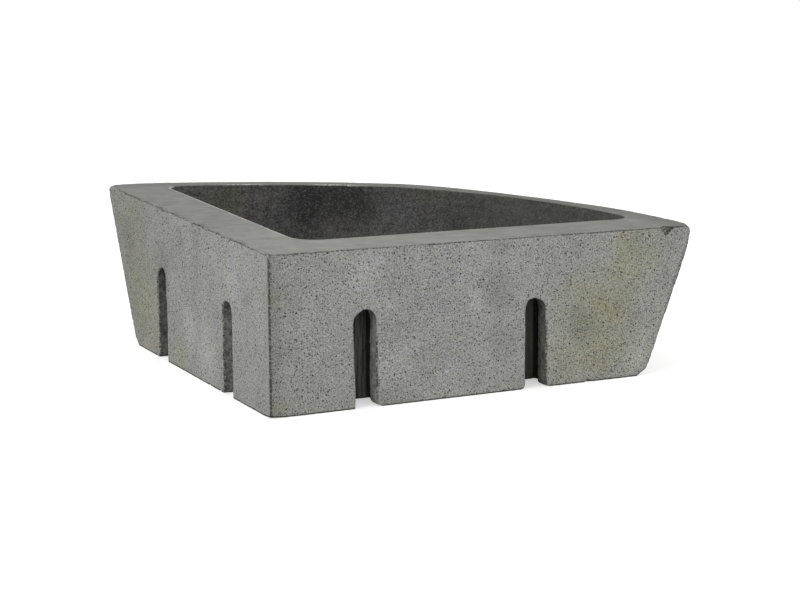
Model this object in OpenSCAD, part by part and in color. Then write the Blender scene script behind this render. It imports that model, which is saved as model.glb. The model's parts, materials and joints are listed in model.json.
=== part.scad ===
// Quarter-round stone corner basin with a short push-open waste, in millimetres.
// Two straight walls meet at the back corner and stand against the walls of the room.
// The front is one curved wall that slopes in towards the base.
// Everything is drawn from the back corner: x along the right wall, y along the left wall,
// z up from the base. place() then moves the origin to the middle of the square footprint.

/* [Outline] */
// Length of each straight wall at the rim
side_len = 450; // [400:1:520]
// Height at the back corner
corner_h = 151; // [135:1:180]
// How much lower the rim is at the right end
rim_fall = 5.5; // [0:0.5:8]
// How much higher the rim is at the left end
rim_rise = 8; // [0:0.5:10]
// How far the base is set back from the rim at the right end
setback_right = 54; // [30:1:80]
// How far the base is set back from the rim at the left end
setback_left = 81; // [30:1:95]
// Radius of the upright edge at the back corner
corner_r = 3; // [1:0.5:8]
// How far the bevel at the foot of the curved wall cuts into the base
foot_bevel = 8; // [3:0.5:14]
// Height of that bevel
foot_bevel_h = 8; // [4:0.5:14]

/* [Rim and bowl] */
// Width of the rim along the right wall
rim_right = 57; // [52:1:75]
// Width of the rim along the left wall
rim_left = 55; // [50:1:75]
// Level thickness of the curved front wall
front_wall = 21; // [16:1:32]
// Radius of the three upright corners of the bowl at the rim
bowl_corner_r = 25; // [12:1:40]
// Slope of the bowl's two straight sides from upright, in degrees
bowl_draft = 4; // [1:0.5:8]
// Height of the bowl's floor at the drain
floor_z = 42; // [38:1:55]
// How much the floor falls from its edge to the drain
floor_fall = 5; // [2:0.5:9]
// Radius between the floor and the sides
floor_fillet = 34; // [15:1:42]

/* [Hanging slots] */
// Width of a slot
slot_w = 24; // [16:1:30]
// Distance between the two slots of one wall
slot_pitch = 179; // [140:1:190]
// Distance of the first slot from the back corner, right wall
slot_start_right = 96; // [60:1:120]
// Distance of the first slot from the back corner, left wall
slot_start_left = 104; // [60:1:120]
// Height of the right wall's first slot
slot_h_right_near = 93; // [70:1:100]
// Height of the right wall's second slot
slot_h_right_far = 87; // [70:1:100]
// Height of the left wall's first slot
slot_h_left_near = 91; // [70:1:100]
// Height of the left wall's second slot
slot_h_left_far = 95; // [70:1:100]
// Thickness of the stone lip in front of a bolt pocket
lip = 17; // [12:0.5:22]
// Depth of a bolt pocket behind its lip
pocket_depth = 19.5; // [12:0.5:20]
// How far a bolt pocket runs past its slot at the sides and top
pocket_side = 8; // [4:0.5:12]

/* [Drain] */
// Distance of the drain from each straight wall
drain_in = 185; // [160:1:215]
// Radial gap between the barrel and the drain hole
drain_gap = 2.05; // [1:0.05:4]
// Room for a spanner round the washers, in the recess under the base
spanner_room = 15; // [10:0.5:22]
// Depth of that recess
recess_h = 24; // [20:0.5:26]
// How far the flange lies below the floor
flange_sink = 0.5; // [0:0.1:1.5]
// Gap between the flange and the edge of its seat
seat_gap = 1.5; // [0.5:0.1:3]

/* [Waste body] */
// How far the flange stands out from the barrel
flange_w = 11.55; // [8:0.05:14]
// Thickness of the flange
flange_h = 2.5; // [2:0.1:4]
// Outer radius of the threaded barrel
barrel_r = 20.95; // [20:0.05:21.5]
// Wall of the barrel
barrel_wall = 2.95; // [2.4:0.05:4]
// Height of the barrel's lower end above the base
barrel_foot = 2; // [1:0.5:4]
// Length of the barrel's threaded end that the trap is screwed onto
outlet_h = 9; // [8:0.1:9.5]
// Height of the run-out groove above that end
groove_h = 1.4; // [0.8:0.1:2]
// Depth of that groove
groove_d = 1; // [0.5:0.1:1.5]
// How much the mouth at the top is wider than the bore, in radius
mouth_flare = 3.5; // [2:0.1:4]
// Depth of the cone from the mouth to the bore
mouth_h = 4.5; // [3.5:0.1:6]
// Height of the cross above the barrel's lower end
cross_lift = 2; // [1:0.5:3]
// Width of one arm of the cross inside the barrel
arm_w = 3; // [2:0.1:5]
// Height of that cross
arm_h = 5; // [3:0.1:6]
// Radius of the boss in its middle
boss_r = 7.5; // [6:0.1:9]

/* [Seals and nut] */
// Thickness of the seal under the flange
top_seal_h = 2; // [1:0.1:3]
// How far that seal stays inside the flange's edge
seal_inset = 1; // [0.5:0.1:3]
// Thickness of the rubber washer under the stone
under_seal_h = 3; // [2:0.1:4]
// Thickness of the slip washer
slip_h = 1.5; // [1:0.1:2]
// Width of the ring of the two washers under the stone
washer_w = 9.9; // [7:0.1:14]
// Thickness of the back nut
nut_h = 7; // [5:0.1:8]
// Wall of the back nut at its flats
nut_wall = 6.4; // [4:0.1:9]
// Radial gap between the barrel and what is threaded over it
ring_gap = 0.15; // [0.05:0.05:0.4]

/* [Plug] */
// How far the cap stays inside the flange's edge
cap_inset = 2.5; // [0.5:0.1:5]
// Thickness of the cap at its edge
cap_edge = 2; // [1.5:0.1:3]
// Height of the cap's dome above its edge
cap_dome = 3.5; // [1:0.1:6]
// Gap between the shut cap and the flange
cap_gap = 1.5; // [1:0.1:3]
// Radius of the socket under the cap
socket_r = 6.5; // [5.5:0.1:8]
// Depth of that socket
socket_h = 7; // [5:0.1:8]
// Thickness of the rubber disc under the cap
disc_h = 3; // [2:0.1:4]
// Gap between the shut rubber disc and the mouth
disc_gap = 0.3; // [0.2:0.05:0.6]
// How far the plug rises when it opens
plug_travel = 9; // [6:0.5:10]

/* [Cartridge] */
// Outer radius of the sleeve
sleeve_r = 6.9; // [6.5:0.1:7.5]
// Wall of the sleeve
sleeve_wall = 1.3; // [1:0.1:1.6]
// Radius of the stud under the sleeve
stud_r = 4; // [3:0.1:4.5]
// Thickness of the sleeve's bottom and of its collar at the top
sleeve_end = 2; // [1.5:0.1:2.5]
// Radius of the plunger
plunger_r = 3.8; // [3:0.1:4.2]
// Thickness of the latch ring
latch_h = 3; // [2:0.1:4]
// Number of teeth on the latch ring
latch_teeth = 6; // [4:1:8]
// Height of those teeth
tooth_h = 1.2; // [0.6:0.1:1.6]
// Room left over the latch ring when the plug is up
latch_room = 1; // [0.5:0.1:2]
// Radius of the spring's wire
wire_r = 0.35; // [0.25:0.05:0.45]
// Turns of the spring
spring_turns = 6; // [4:1:7]
// Height of the spring while the plug is shut
spring_h = 8; // [7:0.1:10]
// Running gap between sliding pieces, also between the sleeve's stud and its boss
slide_gap = 0.2; // [0.1:0.05:0.3]

/* [Hidden] */
$fn = 96;
over = 2;                 // how far a cut runs past the face it opens
reach = 3 * side_len;     // larger than the part

// The rim is a plane through the back corner, and the slopes of its two ends set the cone
right_tip = [side_len, 0, corner_h - rim_fall];
left_tip = [0, side_len, corner_h + rim_rise];
slope_right = atan(setback_right / right_tip.z);
slope_left = atan(setback_left / left_tip.z);
flare = (slope_right + slope_left) / 2;
lean = (slope_left - slope_right) / sqrt(2);
cone_dir = [-sin(lean) / sqrt(2), sin(lean) / sqrt(2), cos(lean)];

// The cone's axis is moved along the diagonal until both tips lie on the cone
function cone_start(shift) = [shift, -shift, corner_h];
function radius_for(tip, shift) =
    let (v = tip - cone_start(shift), t = v * cone_dir) norm(v - t * cone_dir) - t * tan(flare);
function balanced(shift, tries) =
    tries == 0 ? shift
    : balanced(shift + (radius_for(right_tip, shift) - radius_for(left_tip, shift)) / 2, tries - 1);
cone_shift = balanced(0, 8);
cone_r = radius_for(right_tip, cone_shift);
cone_run = corner_h + rim_rise + side_len * abs(sin(lean)) + over;

// The curved wall at height z is near enough a circle, which the bowl follows
mean_h = corner_h + (rim_rise - rim_fall) / 2;
mean_setback = (setback_right + setback_left) / 2;
function front_r(z) = side_len - mean_setback * (1 - z / mean_h);
function front_off(z) = (setback_left - setback_right) / 2 * (1 - z / mean_h);

floor_edge_z = floor_z + floor_fall;
bowl_top = corner_h + rim_rise + over;
fillet_steps = 6;

// Radii in the waste, from the barrel outwards
barrel_bore_r = barrel_r - barrel_wall;
mouth_r = barrel_bore_r + mouth_flare;
flange_r = barrel_r + flange_w;
cap_r = flange_r - cap_inset;
drain_r = barrel_r + drain_gap;
washer_r = barrel_r + ring_gap + washer_w;
nut_r = barrel_r + ring_gap + nut_wall;
recess_r = washer_r + spanner_room;

// Heights in the waste, from the stone upwards and downwards
seat_z = floor_z - flange_sink - flange_h - top_seal_h;
flange_z = seat_z + top_seal_h;
mouth_z = flange_z + flange_h;
slip_z = recess_h - under_seal_h - slip_h;
nut_z = slip_z - nut_h;
cross_z = barrel_foot + cross_lift;
sleeve_z = cross_z + arm_h;
spring_z = sleeve_z + sleeve_end;
latch_z = spring_z + spring_h;
latch_top = latch_z + latch_h;
sleeve_top = latch_top + tooth_h + plug_travel + latch_room + sleeve_end;
cap_z = mouth_z + cap_gap;
sleeve_bore_r = sleeve_r - sleeve_wall;
function mouth_at(z) = barrel_bore_r + (mouth_r - barrel_bore_r) * (z - mouth_z + mouth_h) / mouth_h;

stone = [0.55, 0.56, 0.53];
chrome = [0.80, 0.81, 0.83];
brass = [0.72, 0.58, 0.32];
rubber = [0.12, 0.12, 0.12];
plastic = [0.86, 0.87, 0.87];
steel = [0.62, 0.63, 0.65];

module place() { translate([-side_len / 2, -side_len / 2, 0]) children(); }
module at_drain() { place() translate([drain_in, drain_in, 0]) children(); }
module on_left_wall() { mirror([1, -1, 0]) children(); }

module ring(outer, inner, h) {
    difference() {
        cylinder(h = h, r = outer);
        translate([0, 0, -over]) cylinder(h = h + 2 * over, r = inner);
    }
}

// All stone above the rim's plane
module above_rim() {
    fall_line = [rim_rise, rim_fall, 0];
    tilt = atan(norm(fall_line) / side_len);
    translate([0, 0, corner_h]) rotate(a = tilt, v = fall_line + [0.001, 0, 0])
        translate([-reach / 2, -reach / 2, 0]) cube([reach, reach, reach]);
}

// The cone that the curved front wall is a part of
module front_cone() {
    translate(cone_start(cone_shift)) rotate(a = lean, v = [-1, -1, 0])
        translate([0, 0, -cone_run])
            cylinder(h = 2 * cone_run, r1 = cone_r - cone_run * tan(flare),
                     r2 = cone_r + cone_run * tan(flare), $fn = 180);
}

// The bevel round the foot of the curved wall
module foot_cone() {
    foot_r = front_r(0) - foot_bevel;
    widening = (front_r(foot_bevel_h) - foot_r) / foot_bevel_h;
    translate([front_off(0), -front_off(0), 0])
        cylinder(h = side_len, r1 = foot_r, r2 = foot_r + side_len * widening, $fn = 180);
}

// One level outline of the bowl, drawn in from the sides by inset
module bowl_outline(z, inset) {
    draft = tan(bowl_draft) * (mean_h - z);
    offset(r = bowl_corner_r) offset(delta = -bowl_corner_r) intersection() {
        translate([front_off(z), -front_off(z)]) circle(r = front_r(z) - front_wall - inset, $fn = 180);
        translate([rim_left + draft + inset, rim_right + draft + inset]) square(side_len);
    }
}

module outline_at(z, inset) {
    translate([0, 0, z]) linear_extrude(0.01) bowl_outline(z, inset);
}

// The hollow of the bowl: sides, a rounded foot and a floor that falls to the drain
module bowl() {
    hull() {
        outline_at(bowl_top, 0);
        for (i = [0 : fillet_steps]) {
            a = 90 * i / fillet_steps;
            outline_at(floor_edge_z + floor_fillet * (1 - sin(a)), floor_fillet * (1 - cos(a)));
        }
        translate([drain_in, drain_in, floor_z]) cylinder(h = 0.01, r = flange_r + seat_gap);
    }
}

// An upright slot with a round top that starts below the base, cut into the wall at y = 0
module round_top_cut(w, h, y0, y1) {
    translate([-w / 2, y0, -over]) cube([w, y1 - y0, h - w / 2 + over]);
    translate([0, y1, h - w / 2]) rotate([90, 0, 0]) cylinder(h = y1 - y0, r = w / 2);
}

// The slot passes through the lip, and the wider pocket behind it takes a bolt's head
module hanging_slot(x, h) {
    translate([x, 0, 0]) {
        round_top_cut(slot_w, h, -over, lip + over);
        round_top_cut(slot_w + 2 * pocket_side, h + pocket_side, lip, lip + pocket_depth);
    }
}

module corner_edge() {
    difference() {
        translate([-over, -over, -over]) cube([corner_r + over, corner_r + over, reach]);
        translate([corner_r, corner_r, -2 * over]) cylinder(h = reach + 4 * over, r = corner_r);
    }
}

// The basin is one block of stone
module basin() {
    color(stone) place() difference() {
        intersection() {
            cube([side_len, side_len, bowl_top]);
            front_cone();
            foot_cone();
        }
        above_rim();
        corner_edge();
        bowl();
        hanging_slot(slot_start_right, slot_h_right_near);
        hanging_slot(slot_start_right + slot_pitch, slot_h_right_far);
        on_left_wall() hanging_slot(slot_start_left, slot_h_left_near);
        on_left_wall() hanging_slot(slot_start_left + slot_pitch, slot_h_left_far);
        translate([drain_in, drain_in, 0]) {
            translate([0, 0, -over]) cylinder(h = floor_edge_z + 2 * over, r = drain_r);
            translate([0, 0, -over]) cylinder(h = recess_h + over, r = recess_r);
            translate([0, 0, seat_z]) cylinder(h = floor_fall + floor_z, r = flange_r + seat_gap);
        }
    }
}

// Seal between the flange and the stone
module flange_seal() {
    color(rubber) at_drain() translate([0, 0, seat_z]) 
        ring(flange_r - seal_inset, barrel_r + ring_gap, top_seal_h);
}

// Flange, barrel and the cross that carries the cartridge, cast in one piece
module waste_body() {
    color(chrome) at_drain() {
        difference() {
            union() {
                translate([0, 0, barrel_foot]) cylinder(h = flange_z - barrel_foot, r = barrel_r);
                translate([0, 0, flange_z]) rotate_extrude()
                    polygon([[0, 0], [flange_r - flange_h / 3, 0], [flange_r, flange_h / 3],
                             [flange_r, flange_h * 2 / 3], [flange_r - flange_h / 2, flange_h], [0, flange_h]]);
            }
            translate([0, 0, barrel_foot + outlet_h]) ring(barrel_r + over, barrel_r - groove_d, groove_h);
            translate([0, 0, barrel_foot - over]) cylinder(h = reach, r = barrel_bore_r);
            translate([0, 0, mouth_z - mouth_h]) cylinder(h = mouth_h, r1 = barrel_bore_r, r2 = mouth_r);
        }
        difference() {
            intersection() {
                translate([0, 0, cross_z]) union() {
                    cylinder(h = arm_h, r = boss_r);
                    for (turn = [0, 90])
                        rotate([0, 0, turn]) translate([-barrel_r, -arm_w / 2, 0])
                            cube([2 * barrel_r, arm_w, arm_h]);
                }
                cylinder(h = reach, r = (barrel_r + barrel_bore_r) / 2);
            }
            translate([0, 0, cross_z - over]) cylinder(h = arm_h + 2 * over, r = stud_r + slide_gap / 2);
        }
    }
}

// Thick rubber washer against the stone
module under_seal() {
    color(rubber) at_drain() translate([0, 0, recess_h - under_seal_h])
        ring(washer_r, barrel_r + ring_gap, under_seal_h);
}

// Hard washer that lets the nut turn without dragging the rubber
module slip_washer() {
    color(plastic) at_drain() translate([0, 0, slip_z]) ring(washer_r, barrel_r + ring_gap, slip_h);
}

module back_nut() {
    nut_corner = nut_r / cos(30);
    color(brass) at_drain() translate([0, 0, nut_z]) difference() {
        intersection() {
            cylinder(h = nut_h, r = nut_corner, $fn = 6);
            cylinder(h = nut_h, r1 = nut_r + nut_h, r2 = nut_r);
            cylinder(h = nut_h, r1 = nut_r, r2 = nut_r + nut_h);
        }
        translate([0, 0, -over]) cylinder(h = nut_h + 2 * over, r = barrel_r + ring_gap);
    }
}

// Sleeve of the push-open cartridge, screwed into the cross by its stud
module cartridge_sleeve() {
    color(plastic) at_drain() {
        translate([0, 0, cross_z]) cylinder(h = arm_h, r = stud_r);
        translate([0, 0, sleeve_z]) difference() {
            cylinder(h = sleeve_top - sleeve_z, r = sleeve_r);
            translate([0, 0, sleeve_end])
                cylinder(h = sleeve_top - sleeve_z - 2 * sleeve_end, r = sleeve_bore_r);
            translate([0, 0, sleeve_end]) cylinder(h = reach, r = plunger_r + slide_gap);
        }
    }
}

// Coil spring under the latch ring, its ends flush with the sleeve's bottom and the ring
rings_per_turn = 16;
wire_sides = 6;
coil_r = sleeve_bore_r - slide_gap - wire_r;
coil_rise = spring_h - 2 * wire_r;
coil_rings = spring_turns * rings_per_turn;
function coil_point(i, j) =
    let (a = 360 * i / rings_per_turn, b = 360 * j / wire_sides,
         r = coil_r + wire_r * cos(b))
    [r * cos(a), r * sin(a), wire_r + coil_rise * i / coil_rings + wire_r * sin(b)];
module cartridge_spring() {
    points = [for (i = [0 : coil_rings], j = [0 : wire_sides - 1]) coil_point(i, j)];
    sides = [for (i = [0 : coil_rings - 1], j = [0 : wire_sides - 1])
        let (a = i * wire_sides + j, b = i * wire_sides + (j + 1) % wire_sides)
        each [[a, b, b + wire_sides], [a, b + wire_sides, a + wire_sides]]];
    first = [for (j = [wire_sides - 1 : -1 : 0]) j];
    last = [for (j = [0 : wire_sides - 1]) coil_rings * wire_sides + j];
    color(steel) at_drain() translate([0, 0, spring_z])
        polyhedron(points = points, faces = concat(sides, [first], [last]), convexity = 8);
}
coil_clear = coil_rise / spring_turns - 2 * wire_r;
echo(str("gap between the spring's turns: ", coil_clear, " mm"));

// Toothed ring that latches the plunger up or down
module latch_ring() {
    color(plastic) at_drain() translate([0, 0, latch_z]) {
        cylinder(h = latch_h, r = sleeve_bore_r - slide_gap);
        intersection() {
            for (i = [0 : latch_teeth - 1])
                rotate([0, 0, 360 * i / latch_teeth]) translate([0, 0, latch_h]) rotate([90, 0, 90])
                    translate([0, 0, plunger_r]) linear_extrude(sleeve_bore_r)
                        polygon([[-tooth_h, 0], [tooth_h, 0], [tooth_h, tooth_h]]);
            cylinder(h = reach, r = sleeve_bore_r - slide_gap);
        }
    }
}

// Plunger between the latch ring and the cap
module plunger() {
    color(brass) at_drain() translate([0, 0, latch_top])
        cylinder(h = cap_z - latch_top, r = plunger_r);
}

// Rubber disc that closes the mouth
module plug_disc() {
    low = cap_z - disc_h;
    color(rubber) at_drain() difference() {
        translate([0, 0, low]) cylinder(h = mouth_z - low, r1 = mouth_at(low) - disc_gap,
                                        r2 = mouth_at(mouth_z) - disc_gap);
        translate([0, 0, low - over]) cylinder(h = disc_h + 2 * over, r = socket_r + slide_gap / 2);
    }
    color(rubber) at_drain() translate([0, 0, mouth_z])
        ring(mouth_r - disc_gap, socket_r + slide_gap / 2, cap_z - mouth_z);
}

// Domed cap with the socket that is screwed onto the plunger
module plug_cap() {
    dome_r = (cap_r * cap_r + cap_dome * cap_dome) / (2 * cap_dome);
    color(chrome) at_drain() {
        translate([0, 0, cap_z]) {
            cylinder(h = cap_edge, r = cap_r);
            intersection() {
                translate([0, 0, cap_edge]) cylinder(h = cap_dome + over, r = cap_r);
                translate([0, 0, cap_edge + cap_dome - dome_r]) sphere(r = dome_r, $fn = 180);
            }
        }
        translate([0, 0, cap_z - socket_h]) ring(socket_r, plunger_r + slide_gap / 2, socket_h);
    }
}

basin();
flange_seal();
waste_body();
under_seal();
slip_washer();
back_nut();
cartridge_sleeve();
cartridge_spring();
latch_ring();
plunger();
plug_disc();
plug_cap();
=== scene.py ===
# %% [markdown]
# A quarter-round corner basin of grey stone, with a push-open waste. The block comes from the
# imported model, and this script gives it its worn edges and its finishes. The straight walls meet
# at the back corner, and the camera looks at that corner. All lengths are in metres, in the packed
# model's own frame. Tables of places on the block, and all lengths in the shaders, are in
# millimetres, which are easier to read.

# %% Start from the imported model
import json
import math
from itertools import product
from types import SimpleNamespace
import bpy
import numpy as np
from mathutils import Matrix, Vector


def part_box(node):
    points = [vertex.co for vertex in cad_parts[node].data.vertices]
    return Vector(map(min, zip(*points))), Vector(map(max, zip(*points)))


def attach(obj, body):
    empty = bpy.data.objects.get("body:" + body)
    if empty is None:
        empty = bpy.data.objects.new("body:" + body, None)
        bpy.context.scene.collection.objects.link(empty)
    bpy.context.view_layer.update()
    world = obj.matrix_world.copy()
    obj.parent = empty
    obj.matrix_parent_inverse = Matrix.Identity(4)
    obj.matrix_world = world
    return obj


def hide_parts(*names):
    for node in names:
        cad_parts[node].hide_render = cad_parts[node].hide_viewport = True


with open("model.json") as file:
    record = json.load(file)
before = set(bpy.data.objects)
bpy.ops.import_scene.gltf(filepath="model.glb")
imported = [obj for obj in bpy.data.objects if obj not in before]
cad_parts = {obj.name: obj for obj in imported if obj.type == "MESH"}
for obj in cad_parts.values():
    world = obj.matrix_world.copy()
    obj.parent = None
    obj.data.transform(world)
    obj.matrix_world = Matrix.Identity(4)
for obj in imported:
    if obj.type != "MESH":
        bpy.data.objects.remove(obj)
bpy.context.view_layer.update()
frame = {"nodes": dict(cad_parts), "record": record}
MM = 0.001

# %% [markdown]
# The camera stands where the photograph was taken from, worked out from the edges of the block. It
# is a long lens, so the block is hardly distorted. Its place and turns are given once, as numbers
# a photographer could set, and a small matrix turns them into the camera's axes.

# %% Camera
CAMERA_PLACE = Vector((-0.9714, -2.0526, 0.4892))
CAMERA_YAW = math.radians(64.358)
CAMERA_PITCH = math.radians(10.902)
CAMERA_ROLL = math.radians(-0.297)
LENS_MM = 100.6
SENSOR_MM = 36.0
CAMERA_REACH = 100


def add_camera():
    """A camera at the photograph's place, turned as it was."""
    level = math.cos(CAMERA_PITCH)
    ahead = Vector((level * math.cos(CAMERA_YAW), level * math.sin(CAMERA_YAW),
                    -math.sin(CAMERA_PITCH)))
    right = ahead.cross(Vector((0, 0, 1))).normalized()
    up = right.cross(ahead)
    turned_right = right * math.cos(CAMERA_ROLL) + up * math.sin(CAMERA_ROLL)
    turned_up = up * math.cos(CAMERA_ROLL) - right * math.sin(CAMERA_ROLL)
    data = bpy.data.cameras.new("camera")
    data.lens = LENS_MM
    data.sensor_width = SENSOR_MM
    data.clip_end = CAMERA_REACH
    camera = bpy.data.objects.new("camera", data)
    axes = Matrix((turned_right, turned_up, -ahead)).transposed().to_4x4()
    camera.matrix_world = Matrix.Translation(CAMERA_PLACE) @ axes
    bpy.context.scene.collection.objects.link(camera)
    bpy.context.scene.camera = camera
    return camera


camera = add_camera()
print("camera at", [round(v, 3) for v in camera.location])

# %% [markdown]
# The block's rim isn't quite level: it was cut by hand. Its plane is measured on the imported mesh,
# so the honed finish later lies exactly on it. The other measures are those of the block in the
# photograph.

# %% Measures of the block
basin = frame["nodes"]["basin"]
basin_low, basin_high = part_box("basin")
TOP_FACE_ABOVE = 120 * MM
FACES_UP = 0.99
CORNER_HEIGHT = 151 * MM
SETBACK_RIGHT = 54 * MM
SETBACK_LEFT = 81 * MM


def rim_plane(mesh):
    """Height of the rim as start + slope_x * x + slope_y * y, fitted to its flat faces."""
    corners = [mesh.vertices[v].co for face in mesh.polygons
               if face.normal.z > FACES_UP and face.center.z > TOP_FACE_ABOVE
               for v in face.vertices]
    places = np.array([(1.0, c.x, c.y) for c in corners])
    heights = np.array([c.z for c in corners])
    return np.linalg.lstsq(places, heights, rcond=None)[0]


RIM_START, RIM_SLOPE_X, RIM_SLOPE_Y = [float(v) for v in rim_plane(basin.data)]
print("rim height in the middle", round(RIM_START / MM, 1), "mm")


def rim_height(x, y):
    return RIM_START + RIM_SLOPE_X * x + RIM_SLOPE_Y * y


def from_corner(x, y, z):
    """A place given in millimetres from the back corner, in the model's frame."""
    return np.array((basin_low.x + x * MM, basin_low.y + y * MM, z * MM))


# %% [markdown]
# The curved front is part of a leaning cone. Its flare and lean come from how far the front sets
# back at the two ends of the base. Its axis is then moved until both tips of the rim lie on the
# cone.

# %% Cone of the curved front
RIGHT_TIP = np.array((basin_high.x, basin_low.y, rim_height(basin_high.x, basin_low.y)))
LEFT_TIP = np.array((basin_low.x, basin_high.y, rim_height(basin_low.x, basin_high.y)))
SLOPE_RIGHT = math.atan(SETBACK_RIGHT / RIGHT_TIP[2])
SLOPE_LEFT = math.atan(SETBACK_LEFT / LEFT_TIP[2])
FLARE = (SLOPE_RIGHT + SLOPE_LEFT) / 2
LEAN = (SLOPE_LEFT - SLOPE_RIGHT) / math.sqrt(2)
CONE_AXIS = np.array((-math.sin(LEAN) / math.sqrt(2), math.sin(LEAN) / math.sqrt(2),
                      math.cos(LEAN)))
AXIS_ROUNDS = 8


def cone_start(shift):
    return from_corner(shift / MM, -shift / MM, CORNER_HEIGHT / MM)


def cone_radius(tip, shift):
    """Radius of the cone at its start, if it is to pass through a tip."""
    arm = tip - cone_start(shift)
    along = arm @ CONE_AXIS
    return np.linalg.norm(arm - along * CONE_AXIS) - along * math.tan(FLARE)


cone_shift = 0.0
for _ in range(AXIS_ROUNDS):
    cone_shift += (cone_radius(RIGHT_TIP, cone_shift) - cone_radius(LEFT_TIP, cone_shift)) / 2
CONE_START = cone_start(cone_shift)
CONE_RADIUS = cone_radius(RIGHT_TIP, cone_shift)
print("cone flares", round(math.degrees(FLARE), 2), "degrees and leans",
      round(math.degrees(LEAN), 2))

# %% [markdown]
# Real stone has no sharp edge left: arrises are rubbed round, corners are knocked off and edges
# crumble. A remesh turns the CAD solid into an even skin of small faces that still has sharp
# edges. Its points can then be moved one by one with numpy, which is quick for many points.
# Sculpting by hand would do too, but a script gives the same stone every time.

# %% Skin of the block
WELD_GAP = 0.01 * MM
SKIN_DEPTH = 8
SKIN_SCALE = 0.985


def applied(piece):
    """Applies a piece's modifiers to its mesh."""
    graph = bpy.context.evaluated_depsgraph_get()
    mesh = bpy.data.meshes.new_from_object(piece.evaluated_get(graph))
    piece.modifiers.clear()
    piece.data = mesh
    return piece


def even_skin(source, name):
    """A copy of a CAD solid with an even skin of faces, 1.8 mm across."""
    piece = bpy.data.objects.new(name, source.data.copy())
    bpy.context.scene.collection.objects.link(piece)
    weld = piece.modifiers.new("weld", "WELD")
    weld.merge_threshold = WELD_GAP
    skin = piece.modifiers.new("skin", "REMESH")
    skin.mode = "SHARP"
    skin.octree_depth = SKIN_DEPTH
    skin.scale = SKIN_SCALE
    skin.use_remove_disconnected = True
    return applied(piece)


block = even_skin(basin, "stone_block")
print("block has", len(block.data.vertices), "points")

# %% [markdown]
# A Python loop over so many points would be slow, so numpy reads and writes them all at once. Two
# tools shape them: a blur along the edges of the mesh, and soft random lumps. The random numbers
# start from a fixed seed, so every run gives the same stone.

# %% Tools for moving many points at once
LUMP_CELLS = 32


def read_rows(items, name, width, kind=np.float32):
    """What each point or edge of a mesh holds, as one row of numbers each."""
    rows = np.empty(len(items) * width, kind)
    items.foreach_get(name, rows)
    return rows.reshape(-1, width)


def write_points(mesh, points):
    mesh.vertices.foreach_set("co", points.astype(np.float32).ravel())
    mesh.update()


def blur(values, edges, pull, rounds):
    """Moves each row towards the mean of its neighbours' rows, by the share pull."""
    first, second = edges.T
    size = len(values)
    count = np.bincount(edges.ravel(), minlength=size)[:, None]
    for _ in range(rounds):
        columns = [np.bincount(first, column[second], size)
                   + np.bincount(second, column[first], size) for column in values.T]
        values = values + pull * (np.stack(columns, 1) / count - values)
    return values


def lumps(points, size, seed):
    """Smooth random values from -1 to 1, whose lumps are about size across."""
    sides = (LUMP_CELLS, LUMP_CELLS, LUMP_CELLS)
    table = np.random.default_rng(seed).uniform(-1, 1, sides)
    scaled = points / size
    whole = np.floor(scaled).astype(int)
    part = scaled - whole
    part = part * part * (3 - 2 * part)
    total = np.zeros(len(points))
    for step in product((0, 1), repeat=3):
        near = (whole + step) % LUMP_CELLS
        share = np.prod(np.where(step, part, 1 - part), axis=1)
        total += share * table[near[:, 0], near[:, 1], near[:, 2]]
    return total


points = read_rows(block.data.vertices, "co", 3).astype(float)
edges = read_rows(block.data.edges, "vertices", 2, np.int32)
edge_lengths = np.linalg.norm(points[edges[:, 0]] - points[edges[:, 1]], axis=1)
print("edges are", round(edge_lengths.mean() / MM, 2), "mm long on average")

# %% [markdown]
# How far a point lies behind each face of the block says which edge it is near. For the front,
# that is how much nearer the cone's axis the point lies than the cone does.

# %% Depth behind each face
RIM_NORMAL = np.array((-RIM_SLOPE_X, -RIM_SLOPE_Y, 1.0)) / math.hypot(RIM_SLOPE_X, RIM_SLOPE_Y, 1.0)


def depths(points):
    """Distance of each point behind the block's five outer faces."""
    arm = points - CONE_START
    along = arm @ CONE_AXIS
    away = np.linalg.norm(arm - along[:, None] * CONE_AXIS, axis=1)
    front = (CONE_RADIUS + along * math.tan(FLARE) - away) * math.cos(FLARE)
    rim = (rim_height(points[:, 0], points[:, 1]) - points[:, 2]) * RIM_NORMAL[2]
    return {"left": points[:, 0] - basin_low.x, "right": points[:, 1] - basin_low.y,
            "base": points[:, 2], "rim": rim, "front": front}


print("deepest point behind the rim", round(float(depths(points)["rim"].max()) / MM, 1), "mm")

# %% [markdown]
# The photograph shows how worn each edge is. The rim is crisp, and its two tips are knocked round.
# Points near an edge are moved onto a circle that touches both of its faces. A Bevel modifier
# would be simpler, but it gives an edge the same round all along. Here each tip has a radius that
# fades out at a reach, both in millimetres.

# %% Rub the edges round
CRISP_ROUND = 0.3
TIP_ROUNDS = (("rim", "front", RIGHT_TIP, 5.0, 16), ("right", "front", RIGHT_TIP, 2.5, 16),
              ("right", "rim", RIGHT_TIP, 2.5, 16), ("rim", "front", LEFT_TIP, 1.6, 14),
              ("left", "front", LEFT_TIP, 2.5, 16), ("left", "rim", LEFT_TIP, 7.0, 45))
NO_LENGTH = 1e-9


def outward(points):
    """The direction out of the stone at each of its outer faces."""
    arm = points - CONE_START
    arm = arm - (arm @ CONE_AXIS)[:, None] * CONE_AXIS
    arm = arm / np.linalg.norm(arm, axis=1)[:, None]
    fixed = {"left": (-1.0, 0.0, 0.0), "right": (0.0, -1.0, 0.0), "base": (0.0, 0.0, -1.0),
             "rim": RIM_NORMAL}
    out = {name: np.tile(value, (len(points), 1)) for name, value in fixed.items()}
    out["front"] = arm * math.cos(FLARE) - CONE_AXIS * math.sin(FLARE)
    return out


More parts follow.
